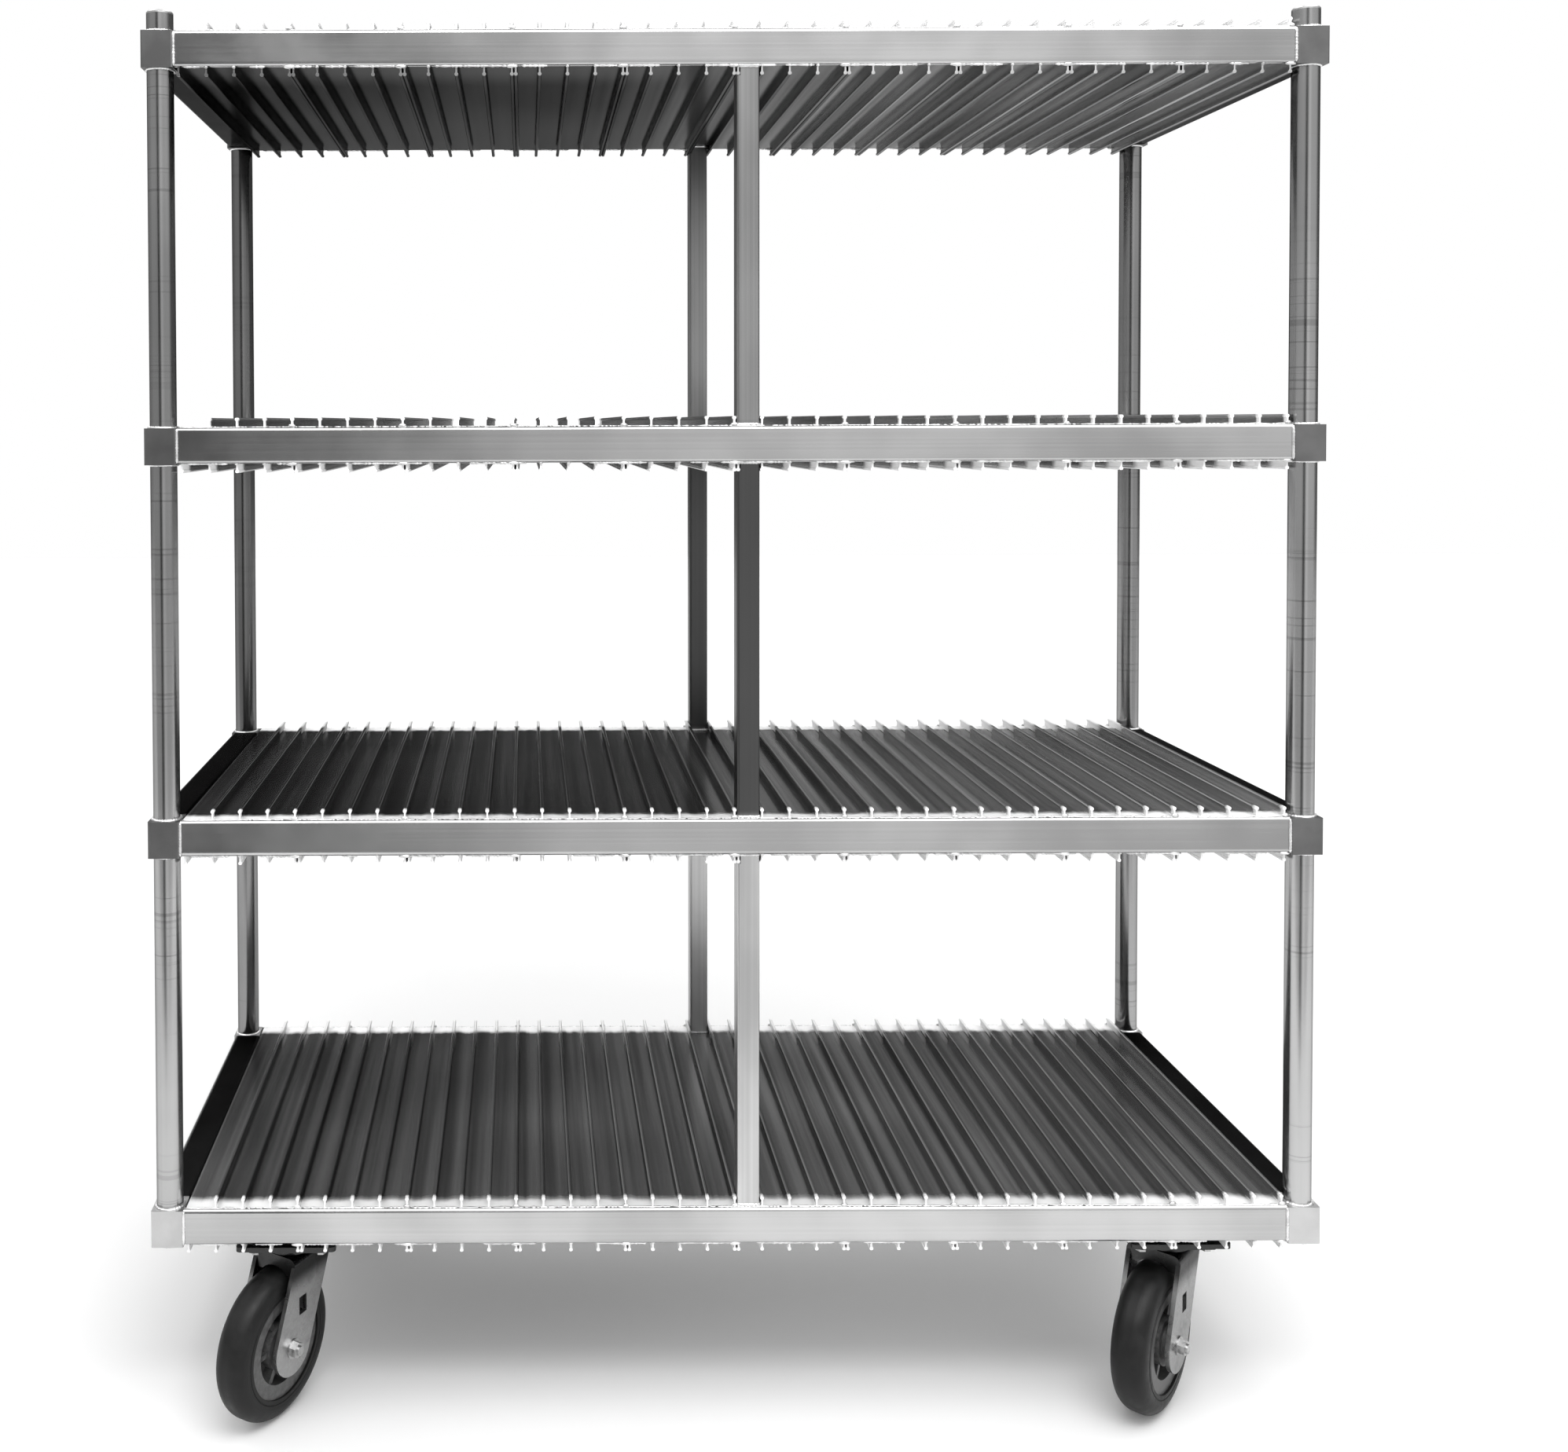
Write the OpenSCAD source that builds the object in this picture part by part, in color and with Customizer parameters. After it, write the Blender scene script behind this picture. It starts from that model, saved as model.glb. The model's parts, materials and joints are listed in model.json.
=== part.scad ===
// Mobile sheet pan rack: four ribbed plank decks welded to round corner posts, on swivel casters.
// Millimetres. X runs along the length, Y from front to back and Z up from the floor.
// The origin is on the floor, under the middle of the rack.

/* [Decks] */
// Width of one deck plank
plank_w = 152.4; // [120:0.1:180]
// Planks side by side in each deck
plank_count = 10; // [4:2:12]
// Ribs on top of each plank
ribs_per_plank = 4; // [3:1:5]
// Height of the ribs above and below the plank
rib_h = 12.7; // [8:0.1:16]
// Thickness of the plank skins
skin_t = 2.2; // [1.6:0.1:4]
// Thickness of the rib webs
web_t = 2.4; // [1.6:0.1:3]
// Radius of the bulb along each rib edge
bulb_r = 2.6; // [2:0.1:3]
// Height from one deck to the next
level_pitch = 544; // [300:1:700]

/* [Rails] */
// Height of the rails, which is also the thickness of the planks without their ribs
rail_h = 50.8; // [40:0.1:70]
// Thickness of the front and rear rails
rail_t = 6.35; // [5:0.05:8]
// Wall of the hollow side rails
side_wall = 3.2; // [2:0.1:5]

/* [Posts] */
// Distance between the centres of the front and rear posts
post_span_y = 622; // [450:1:800]
// Outside diameter of the corner posts
post_d = 37; // [30:0.5:38]
// Wall of the corner posts
post_wall = 3.2; // [2:0.1:5]
// Height of the corner posts above the top deck, without their caps
post_above = 24; // [10:1:80]
// Outside width of the square corner sleeves
sleeve_w = 44.45; // [43:0.05:50]
// Outside width of the square centre posts
centre_post_w = 31.75; // [25:0.05:32]
// Wall of the centre posts
centre_post_wall = 3; // [2:0.1:5]

/* [Casters] */
// Outside diameter of the wheels
wheel_d = 203.2; // [190:0.1:210]
// Width of the tyres
wheel_w = 50.8; // [40:0.1:52]
// Height of a caster from the floor to the top of its plate
caster_h = 241.3; // [238:0.1:260]
// Distance from the swivel axis back to the axle
trail = 45; // [30:1:50]
// Distance from the middle of the rack to the swivel axes, front to back
caster_y = 250; // [180:1:260]
// Turn of the front left and rear right casters away from straight
swing_a = 31; // [0:1:60]
// Turn of the front right and rear left casters away from straight
swing_b = 42; // [0:1:60]
// Width of the fork legs
leg_w = 74; // [50:1:80]
// Thickness of the fork plate
fork_t = 6.35; // [4:0.05:8]

/* [Hidden] */
$fn = 64;

CORNERS = ["front_left", "front_right", "rear_left", "rear_right"];
LEVELS = [1, 2, 3, 4];

// Left and right are -1 and 1 in the first place, front and rear in the second
CORNER_SIGNS = [[-1, -1], [1, -1], [-1, 1], [1, 1]];
// Turn of each caster about its swivel axis, in the order of CORNERS
CASTER_TURN = [-swing_a, -swing_b, 180 - swing_b, 180 - swing_a];

// Clear of touching, for pieces that are welded or bolted side by side
fit_gap = 0.1;

// Decks
rib_pitch = plank_w / ribs_per_plank;
plank_edge = 2.5;
plank_gap = 0.3;
deck_half = plank_count * plank_w / 2 + plank_edge;
// Half of the flat on top of a rib bulb, as an angle at the bulb's centre
bulb_flat_angle = 32;
bulb_end_angle = 180 - asin(web_t / 2 / bulb_r);
bulb_centre_h = rib_h - bulb_r * cos(bulb_flat_angle);
bulb_steps = 5;

// Posts and rails
side_rail_w = 45.7;
rail_inset = 2;
sleeve_half = sleeve_w / 2;
post_x = deck_half + side_rail_w + rail_inset - sleeve_half;
post_y = post_span_y / 2;
rail_face_y = post_y + sleeve_half - rail_inset;
plank_len = 2 * (rail_face_y - rail_t);
sleeve_corner_r = 2.5;
sleeve_drop = 1.5;
side_rail_r = 6;
centre_post_r = 3.5;
centre_post_x = rib_pitch / 2;
centre_post_y = rail_face_y - rail_t - centre_post_w / 2;
// The top of each centre post is notched round the lower rib at the left edge of the plank above
edge_rib_x = 2 * plank_edge + plank_gap;
post_notch_w = edge_rib_x + bulb_r + 0.5 - (centre_post_x - centre_post_w / 2);
vent_r = 3;
cap_t = 4;
cap_plug = 14;

// Caster plates and pads
pad_t = 6.35;
pad_size = [140, 127];
plate_t = 7.9;
plate_size = [114.3, 101.6];
bolt_spacing = [92.1, 66.7];
bolt_r = 4.76;
bolt_head_af = 14.3;
bolt_head_h = 6;
bolt_nut_h = 8;
// The swivel axes stand midway between two ribs, so the bolts fall between ribs too
caster_x = plank_count / 2 * plank_w - 3.5 * rib_pitch;
rail_z0 = caster_h + pad_t + rib_h;

// Swivel head: an upper race under the plate, loose balls, and the crown of the fork
plate_z = caster_h - plate_t;
race_r = 40;
race_inner_r = 18;
race_h = 5;
race_lip_r = 36;
race_lip_h = 9;
ball_r = 2.5;
ball_circle_r = 28;
ball_count = 24;
crown_gap = 10.05;
crown_top = plate_z - crown_gap;
kingpin_r = 8;
kingpin_head_r = 13;
kingpin_head_h = 8;
kingpin_clearance = 0.08;

// Fork
leg_inner_x = 31.75;
leg_outer_x = leg_inner_x + fork_t;
crown_r = 11;
crown_low = crown_top - crown_r;
wheel_r = wheel_d / 2;
leg_lean = atan(trail / (crown_low - wheel_r));
leg_half = leg_w / 2;
crown_half = leg_half / cos(leg_lean);
window_size = [16, 25];
window_up = 53;
skirt_t = 5;
skirt_drop = 25;
skirt_arch_r = 29;
skirt_arch_top = 4.3;

// Axle, wheel and tyre
axle_r = 6.35;
axle_af = 19;
axle_head_h = 7;
axle_nut_h = 9;
washer_r = 13;
washer_t = 1.6;
bush_r = 9.5;
roller_r = 1.8;
roller_circle_r = 11.37;
roller_count = 12;
race_in_r = 13.2;
bearing_r = 15;
bearing_len = 54;
hub_r = 24;
hub_len = 60;
hub_flange_r = 33;
rim_r = 70;
rim_inner_r = 51;
rim_half = 22;
hub_web_t = 5;
spoke_t = 7;
spoke_count = 6;
spoke_half = 17;
tyre_shoulder_r = 20;
groove_r = 0.9;

function level_z(n) = rail_z0 + (n - 1) * level_pitch;

// ---- Decks ----

// Outline of one bulbed rib, walked from its foot over the bulb and back down.
// up is 1 for a rib on top and -1 for one below, which is walked the other way along X.
function rib_outline(x, foot, up) = concat(
    [[x - up * web_t / 2, foot]],
    [for (side = [-1, 1]) for (k = [0 : bulb_steps])
        let (swept = k * (bulb_end_angle - bulb_flat_angle) / bulb_steps,
            turn = side < 0 ? swept - bulb_end_angle : bulb_flat_angle + swept)
        [x + up * bulb_r * sin(turn), foot + up * (bulb_centre_h + bulb_r * cos(turn))]],
    [[x + up * web_t / 2, foot]]
);

// Hollow plank section: two skins joined by webs, with a rib in line with each web
module plank_section(width, top_ribs, low_ribs) {
    last = len(low_ribs) - 1;
    difference() {
        polygon(concat(
            [[0, rail_h]],
            [for (x = top_ribs) each rib_outline(x, rail_h, 1)],
            [[width, rail_h], [width, 0]],
            [for (k = [0 : last]) each rib_outline(low_ribs[last - k], 0, -1)],
            [[0, 0]]
        ));
        for (k = [0 : last - 1])
            translate([low_ribs[k] + web_t / 2, skin_t])
                square([low_ribs[k + 1] - low_ribs[k] - web_t, rail_h - 2 * skin_t]);
    }
}

// Each plank has a rib at its right edge, and the first one also closes the left edge of the deck
module deck_plank(i) {
    width = i == 0 ? plank_w + 2 * plank_edge : plank_w - plank_gap;
    right_edge = (i + 1) * plank_w + 2 * plank_edge - deck_half;
    ribs = [for (k = [1 : ribs_per_plank]) width - plank_edge - (ribs_per_plank - k) * rib_pitch];
    translate([right_edge - width, 0, 0])
        rotate([90, 0, 0])
            linear_extrude(plank_len, center = true)
                plank_section(width, ribs, concat([plank_edge], ribs));
}

module deck_planks(n) {
    color("#8e9194")
        for (i = [0 : plank_count - 1])
            translate([0, 0, level_z(n)]) deck_plank(i);
}

// ---- Rails, posts and sleeves ----

// Flat bar with its two outer edges rounded right through
module rail_section() {
    translate([0, rail_t]) square([rail_t, rail_h - 2 * rail_t]);
    for (z = [rail_t, rail_h - rail_t])
        intersection() {
            translate([rail_t, z]) circle(rail_t);
            square([rail_t, rail_h]);
        }
}

// A rail along the length, with its rounded edges towards the front
module long_rail(n) {
    length = 2 * (post_x - sleeve_half - fit_gap);
    color("#b4b7ba")
        translate([0, -rail_face_y, level_z(n)])
            rotate([90, 0, 90])
                linear_extrude(length, center = true) rail_section();
}

module front_rail(n) { long_rail(n); }

module rear_rail(n) { mirror([0, 1, 0]) long_rail(n); }

// Solid rectangle with round corners
module rounded_rect(size, r) {
    translate([r, 0]) square([size[0] - 2 * r, size[1]]);
    translate([0, r]) square([size[0], size[1] - 2 * r]);
    for (x = [r, size[0] - r]) for (y = [r, size[1] - r])
        translate([x, y]) circle(r);
}

module hollow_rect(size, r, wall) {
    difference() {
        rounded_rect(size, r);
        translate([wall, wall]) square([size[0] - 2 * wall, size[1] - 2 * wall]);
    }
}

module side_rails(n) {
    length = 2 * (post_y - sleeve_half - fit_gap);
    color("#a9acaf")
        for (side = [-1, 1])
            translate([side > 0 ? deck_half : -deck_half - side_rail_w, 0, level_z(n)])
                rotate([90, 0, 0])
                    linear_extrude(length, center = true)
                        hollow_rect([side_rail_w, rail_h], side_rail_r, side_wall);
}

module corner_post(i) {
    color("#c2c5c8")
        translate([CORNER_SIGNS[i][0] * post_x, CORNER_SIGNS[i][1] * post_y, rail_z0 - sleeve_drop])
            difference() {
                height = 3 * level_pitch + rail_h + sleeve_drop + post_above;
                cylinder(h = height, d = post_d);
                translate([0, 0, -1]) cylinder(h = height + 2, d = post_d - 2 * post_wall);
            }
}

// Plug with a domed head over the open top of each corner post
module post_caps() {
    color("#cfd2d5")
        for (s = CORNER_SIGNS)
            translate([s[0] * post_x, s[1] * post_y, level_z(4) + rail_h + post_above]) {
                cylinder(h = cap_t / 2, d = post_d);
                translate([0, 0, cap_t / 2]) cylinder(h = cap_t / 2, d1 = post_d, d2 = post_d - 3);
                translate([0, 0, -cap_plug]) cylinder(h = cap_plug, d = post_d - 2 * post_wall - 2 * fit_gap);
            }
}

// Square sleeve around a corner post, with a vent hole in its outer side
module corner_sleeve(side) {
    difference() {
        translate([-sleeve_half, -sleeve_half, 0])
            linear_extrude(rail_h) rounded_rect([sleeve_w, sleeve_w], sleeve_corner_r);
        translate([0, 0, -1]) cylinder(h = rail_h + 2, r = post_d / 2 + fit_gap);
        translate([side * sleeve_half, 0, rail_h / 2])
            rotate([0, 90, 0]) cylinder(h = sleeve_half, r = vent_r, center = true);
    }
}

module corner_sleeves() {
    color("#9a9da0")
        for (n = LEVELS) for (s = CORNER_SIGNS)
            translate([s[0] * post_x, s[1] * post_y, level_z(n) - sleeve_drop]) corner_sleeve(s[0]);
}

// Three lengths of square tube, one standing on each of the lower decks
module centre_post(side) {
    color("#a4a7aa")
        for (n = [1 : 3])
            translate([centre_post_x - centre_post_w / 2, side * centre_post_y - centre_post_w / 2,
                level_z(n) + rail_h])
                difference() {
                    length = level_pitch - rail_h;
                    linear_extrude(length)
                        hollow_rect([centre_post_w, centre_post_w], centre_post_r, centre_post_wall);
                    translate([-1, -1, length - rib_h - 0.5])
                        cube([post_notch_w + 1, centre_post_w + 2, rib_h + 1]);
                }
}

module centre_post_front() { centre_post(-1); }

module centre_post_rear() { centre_post(1); }

// ---- Caster mounting ----

module at_casters() {
    for (s = CORNER_SIGNS) translate([s[0] * caster_x, s[1] * caster_y, 0]) children();
}

module at_bolts() {
    for (x = [-1, 1]) for (y = [-1, 1])
        translate([x * bolt_spacing[0] / 2, y * bolt_spacing[1] / 2, 0]) children();
}

module centred_plate(size, thickness, r) {
    translate([-size[0] / 2, -size[1] / 2, 0]) linear_extrude(thickness) rounded_rect(size, r);
}

// Plates welded under the ribs of the lowest deck
module caster_pads() {
    color("#9fa2a5")
        at_casters()
            difference() {
                translate([0, 0, caster_h]) centred_plate(pad_size, pad_t, 6);
                at_bolts() translate([0, 0, caster_h - 1]) cylinder(h = pad_t + 2, r = bolt_r + fit_gap);
            }
}

// Hexagon across its flats
module hex(af, height) {
    cylinder(h = height, r = af / 2 / cos(30), $fn = 6);
}

// Bolts through pad and plate, each with its head above and its nut below
module caster_bolts() {
    color("#c9cbcd")
        at_casters() at_bolts() {
            translate([0, 0, caster_h + pad_t]) hex(bolt_head_af, bolt_head_h);
            translate([0, 0, plate_z - bolt_nut_h]) cylinder(h = plate_t + pad_t + bolt_nut_h, r = bolt_r);
            translate([0, 0, plate_z - bolt_nut_h]) hex(bolt_head_af, bolt_nut_h);
        }
}

// ---- Casters ----
// Each caster is drawn with its swivel axis on Z and its axle along X, trailing towards -Y

module at_caster(i) {
    translate([CORNER_SIGNS[i][0] * caster_x, CORNER_SIGNS[i][1] * caster_y, 0]) children();
}

module turned(i) {
    at_caster(i) rotate([0, 0, CASTER_TURN[i]]) children();
}

module on_axle() {
    translate([0, -trail, wheel_r]) rotate([0, 90, 0]) children();
}

module ring(outer, inner, height) {
    difference() {
        cylinder(h = height, r = outer, center = true);
        cylinder(h = height + 2, r = inner, center = true);
    }
}

// Top plate with its upper race and riveted kingpin
module caster_plate(i) {
    color("#a5a9ad")
        at_caster(i) {
            difference() {
                translate([0, 0, plate_z]) centred_plate(plate_size, plate_t, 8);
                at_bolts() translate([0, 0, plate_z - 1]) cylinder(h = plate_t + 2, r = bolt_r + fit_gap);
            }
            translate([0, 0, plate_z - race_h / 2]) ring(race_r, race_inner_r, race_h);
            translate([0, 0, plate_z - race_lip_h / 2]) ring(race_r, race_lip_r, race_lip_h);
            translate([0, 0, crown_top - fork_t - kingpin_head_h - 0.4])
                cylinder(h = plate_z - crown_top + fork_t + kingpin_head_h + 1, r = kingpin_r);
            translate([0, 0, crown_top - fork_t - kingpin_head_h - 0.4])
                cylinder(h = kingpin_head_h, r = kingpin_head_r);
        }
}

module caster_balls(i) {
    color("#dfe1e3")
        turned(i)
            for (k = [0 : ball_count - 1])
                rotate([0, 0, k * 360 / ball_count])
                    translate([ball_circle_r, 0, plate_z - race_h - ball_r - 0.025]) sphere(ball_r, $fn = 24);
}

// Side view of a fork leg: leaning, with a round end about the axle
module leg_side() {
    lean_y = leg_half * cos(leg_lean);
    lean_z = leg_half * sin(leg_lean);
    translate([-trail, wheel_r]) circle(leg_half);
    polygon([
        [-crown_half, crown_low],
        [crown_half, crown_low],
        [lean_y - trail, wheel_r - lean_z],
        [-lean_y - trail, wheel_r + lean_z]
    ]);
}

// Front view of the crown: a plate bent down into the legs with round corners
module crown_front() {
    difference() {
        union() {
            translate([crown_r - leg_outer_x, crown_low]) square([2 * (leg_outer_x - crown_r), crown_r]);
            for (side = [-1, 1])
                translate([side * (leg_outer_x - crown_r), crown_low])
                    intersection() {
                        circle(crown_r);
                        translate([-crown_r, 0]) square([2 * crown_r, crown_r]);
                    }
        }
        translate([-leg_inner_x, crown_low - 1]) square([2 * leg_inner_x, crown_r - fork_t + 1]);
    }
}

// Turned-down front edge of the crown, arched over the tyre
module fork_skirt() {
    difference() {
        translate([-leg_inner_x - 1, -crown_half, crown_top - skirt_drop])
            cube([2 * leg_inner_x + 2, skirt_t, skirt_drop - fork_t / 2]);
        translate([0, -crown_half, wheel_d + skirt_arch_top - skirt_arch_r])
            rotate([90, 0, 0]) cylinder(h = 3 * skirt_t, r = skirt_arch_r, center = true);
    }
}

module caster_fork(i) {
    color("#b3b7ba")
        turned(i)
            difference() {
                union() {
                    rotate([90, 0, 0]) linear_extrude(2 * crown_half, center = true) crown_front();
                    for (x = [-leg_outer_x, leg_inner_x])
                        translate([x, 0, 0]) rotate([90, 0, 90]) linear_extrude(fork_t) leg_side();
                    fork_skirt();
                }
                translate([0, 0, crown_top - 2 * fork_t])
                    cylinder(h = 3 * fork_t, r = kingpin_r + kingpin_clearance);
                on_axle() cylinder(h = 4 * leg_inner_x, r = axle_r + fit_gap / 2, center = true);
                translate([0, window_up * tan(leg_lean) - trail, wheel_r + window_up])
                    cube([4 * leg_inner_x, window_size[0], window_size[1]], center = true);
            }
}

// Axle bolt with its head, the nut and washers, and the bush between the fork legs
module caster_axle(i) {
    color("#c6c9cc")
        turned(i) on_axle() {
            translate([0, 0, -leg_outer_x - washer_t - axle_head_h]) hex(axle_af, axle_head_h);
            translate([0, 0, -leg_outer_x - washer_t])
                cylinder(h = 2 * (leg_outer_x + washer_t) + axle_nut_h + 3, r = axle_r);
            translate([0, 0, leg_outer_x + washer_t]) hex(axle_af, axle_nut_h);
            for (side = [-1, 1])
                translate([0, 0, side * (leg_outer_x + washer_t / 2)]) ring(washer_r, axle_r - 1, washer_t);
            ring(bush_r, axle_r + fit_gap / 2, 2 * (leg_inner_x - fit_gap));
        }
}

module caster_bearing(i) {
    color("#d4d6d8")
        turned(i) on_axle() {
            ring(bearing_r, race_in_r, bearing_len);
            for (k = [0 : roller_count - 1])
                rotate([0, 0, k * 360 / roller_count])
                    translate([roller_circle_r, 0, 0])
                        cylinder(h = bearing_len - 4, r = roller_r, center = true, $fn = 24);
        }
}

// Hard wheel core: hub, web and spokes inside a broad rim
module caster_core(i) {
    color("#4a4c4f")
        turned(i) on_axle()
            difference() {
                union() {
                    cylinder(h = hub_len, r = hub_r, center = true);
                    cylinder(h = 2 * rim_half, r = hub_flange_r, center = true);
                    cylinder(h = hub_web_t, r = rim_inner_r + 1, center = true);
                    ring(rim_r, rim_inner_r, 2 * rim_half);
                    for (k = [0 : spoke_count - 1])
                        rotate([0, 0, (k + 0.5) * 360 / spoke_count])
                            translate([(rim_inner_r + hub_r) / 2, 0, 0])
                                cube([rim_inner_r - hub_r + 4, spoke_t, 2 * spoke_half], center = true);
                }
                cylinder(h = hub_len + 2, r = bearing_r + fit_gap / 2, center = true);
            }
}

// Half of the tyre's section, with a large round shoulder and a moulded line on the sidewall
module tyre_section() {
    edge = wheel_w / 2;
    flat = edge - tyre_shoulder_r;
    difference() {
        union() {
            translate([rim_r, -edge]) square([wheel_r - tyre_shoulder_r - rim_r, wheel_w]);
            translate([rim_r, -flat]) square([wheel_r - rim_r, 2 * flat]);
            for (side = [-1, 1])
                translate([wheel_r - tyre_shoulder_r, side * flat]) circle(tyre_shoulder_r);
        }
        for (side = [-1, 1]) translate([rim_r + 6, side * edge]) circle(groove_r, $fn = 16);
        translate([0, -wheel_w]) square([rim_r, 2 * wheel_w]);
    }
}

module caster_tyre(i) {
    color("#3a3b3d")
        turned(i) on_axle() rotate_extrude($fn = 128) tyre_section();
}

for (i = [0 : 3]) corner_post(i);
post_caps();
corner_sleeves();
centre_post_front();
centre_post_rear();
for (n = LEVELS) deck_planks(n);
for (n = LEVELS) front_rail(n);
for (n = LEVELS) rear_rail(n);
for (n = LEVELS) side_rails(n);
caster_pads();
caster_bolts();
for (i = [0 : 3]) caster_plate(i);
for (i = [0 : 3]) caster_balls(i);
for (i = [0 : 3]) caster_fork(i);
for (i = [0 : 3]) caster_axle(i);
for (i = [0 : 3]) caster_bearing(i);
for (i = [0 : 3]) caster_core(i);
for (i = [0 : 3]) caster_tyre(i);
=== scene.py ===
"""Looks of the mobile sheet pan rack. Metres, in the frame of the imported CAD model: +Z up, front at -Y."""

import json
import math
import random

import bmesh
import bpy
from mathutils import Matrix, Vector


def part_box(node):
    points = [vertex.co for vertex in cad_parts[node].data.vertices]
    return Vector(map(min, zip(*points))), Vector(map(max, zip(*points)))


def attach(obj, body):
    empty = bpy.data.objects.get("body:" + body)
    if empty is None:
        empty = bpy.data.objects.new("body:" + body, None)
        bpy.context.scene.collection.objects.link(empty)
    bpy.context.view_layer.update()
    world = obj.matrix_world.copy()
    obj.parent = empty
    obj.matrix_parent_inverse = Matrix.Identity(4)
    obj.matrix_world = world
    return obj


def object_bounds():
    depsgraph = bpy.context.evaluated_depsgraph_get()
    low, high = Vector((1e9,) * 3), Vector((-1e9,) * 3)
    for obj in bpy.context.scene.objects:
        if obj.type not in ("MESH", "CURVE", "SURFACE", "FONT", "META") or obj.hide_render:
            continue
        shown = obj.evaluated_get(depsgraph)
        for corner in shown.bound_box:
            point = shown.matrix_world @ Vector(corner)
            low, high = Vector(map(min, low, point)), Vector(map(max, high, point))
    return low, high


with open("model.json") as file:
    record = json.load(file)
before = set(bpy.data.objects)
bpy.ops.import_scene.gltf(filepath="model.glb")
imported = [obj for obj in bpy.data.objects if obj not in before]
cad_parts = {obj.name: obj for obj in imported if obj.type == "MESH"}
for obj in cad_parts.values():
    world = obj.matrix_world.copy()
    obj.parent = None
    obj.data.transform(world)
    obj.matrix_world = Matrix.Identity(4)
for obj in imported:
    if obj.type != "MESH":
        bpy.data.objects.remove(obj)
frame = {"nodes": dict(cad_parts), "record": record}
cad_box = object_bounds()

LEVELS = (1, 2, 3, 4)
CORNERS = ("front_left", "front_right", "rear_left", "rear_right")
PLANKS = 10
RIBS_PER_PLANK = 4
RIB_SETBACK = 0.0025
FRAME_BODY = "rack"

# Die lines of drawn metal: how many per metre across them, and how deep they are.
DIE_LINES = 260.0
DIE_LINE_DEPTH = 0.000006

# Half-thickness of each kind of weld bead, and the height of its ripples as a share of that.
RAIL_TOP_BEAD = 0.0018
RAIL_UNDER_BEAD = 0.0016
POST_TOP_BEAD = 0.0023
POST_UNDER_BEAD = 0.0019
SLEEVE_FRONT_BEAD = 0.0021
SLEEVE_END_BEAD = 0.0019
CENTRE_TOP_BEAD = 0.0022
CENTRE_UNDER_BEAD = 0.0018
BEAD_WAVE = 0.13


def rib_spacing(low, high):
    """Distance between the ribs of a deck, from the box round its planks."""
    return (high.x - low.x - 2 * RIB_SETBACK) / (PLANKS * RIBS_PER_PLANK)


# ---- Materials ----


class Wiring:
    """Short ways to add nodes to a shader tree and to wire them."""

    def __init__(self, tree):
        self.tree = tree

    def node(self, kind, inputs=None, **settings):
        made = self.tree.nodes.new("ShaderNode" + kind)
        for key, value in settings.items():
            setattr(made, key, value)
        for key, value in (inputs or {}).items():
            if isinstance(value, bpy.types.NodeSocket):
                self.tree.links.new(value, made.inputs[key])
            else:
                made.inputs[key].default_value = value
        return made

    def math(self, operation, a, b=0.0):
        return self.node("Math", {0: a, 1: b}, operation=operation).outputs[0]

    def remap(self, value, start, end, low=0.0, high=1.0):
        """Smooth step from low to high as the value goes from start to end."""
        inputs = {"Value": value, "From Min": start, "From Max": end, "To Min": low, "To Max": high}
        return self.node("MapRange", inputs, interpolation_type="SMOOTHSTEP").outputs["Result"]

    def between(self, factor, a, b):
        """The number a where the factor is 0, and b where it is 1."""
        step = self.math("MULTIPLY", factor, self.math("SUBTRACT", b, a))
        return self.math("ADD", step, a)

    def blend(self, a, share, b):
        """The given share of a, with b for the rest."""
        return self.math("ADD", self.math("MULTIPLY", a, share), self.math("MULTIPLY", b, 1.0 - share))


class Shader(Wiring):
    """A material with one Principled BSDF; a low edge value dulls metal seen at a grazing angle."""

    def __init__(self, name, metallic, roughness, edge=1.0):
        self.material = bpy.data.materials.new(name)
        self.material.use_nodes = True
        super().__init__(self.material.node_tree)
        self.bsdf = self.tree.nodes["Principled BSDF"]
        self.bsdf.inputs["Metallic"].default_value = metallic
        self.bsdf.inputs["Roughness"].default_value = roughness
        self.bsdf.inputs["Specular Tint"].default_value = (edge, edge, edge, 1.0)
        self.place = self.node("TexCoord").outputs["Object"]

    def axis(self, letter):
        return self.node("SeparateXYZ", {"Vector": self.place}).outputs[letter]

    def noise(self, scale, detail=3.0, roughness=0.55, place=None):
        """Noise over the surface; scale is cycles per metre, as one number or along X, Y and Z."""
        if isinstance(scale, float):
            scale = (scale, scale, scale)
        moved = self.node("Mapping", {"Vector": place or self.place, "Scale": scale}).outputs["Vector"]
        inputs = {"Vector": moved, "Scale": 1.0, "Detail": detail, "Roughness": roughness}
        return self.node("TexNoise", inputs).outputs["Fac"]

    def mix(self, factor, a, b):
        """Between two greys or colours, each a number, a colour or a socket."""
        inputs = {0: factor, 6: self.colour(a), 7: self.colour(b)}
        return self.node("Mix", inputs, data_type="RGBA").outputs[2]

    @staticmethod
    def colour(value):
        return (value, value, value, 1.0) if isinstance(value, (int, float)) else value

    def bump(self, height, distance, normal=None):
        inputs = {"Height": height, "Distance": distance}
        if normal:
            inputs["Normal"] = normal
        return self.node("Bump", inputs).outputs["Normal"]

    def colour_so_far(self):
        """What the base colour is wired to."""
        return self.bsdf.inputs["Base Color"].links[0].from_socket

    def set(self, **sockets):
        """Wires the Principled BSDF; an underscore stands for the space in a socket's name."""
        for name, value in sockets.items():
            self.tree.links.new(value, self.bsdf.inputs[name.replace("_", " ")])


def along(axis, length, across):
    """Noise scale that draws streaks along one axis: cycles per metre with and across the streaks."""
    return tuple(length if letter == axis else across for letter in "XYZ")


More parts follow.
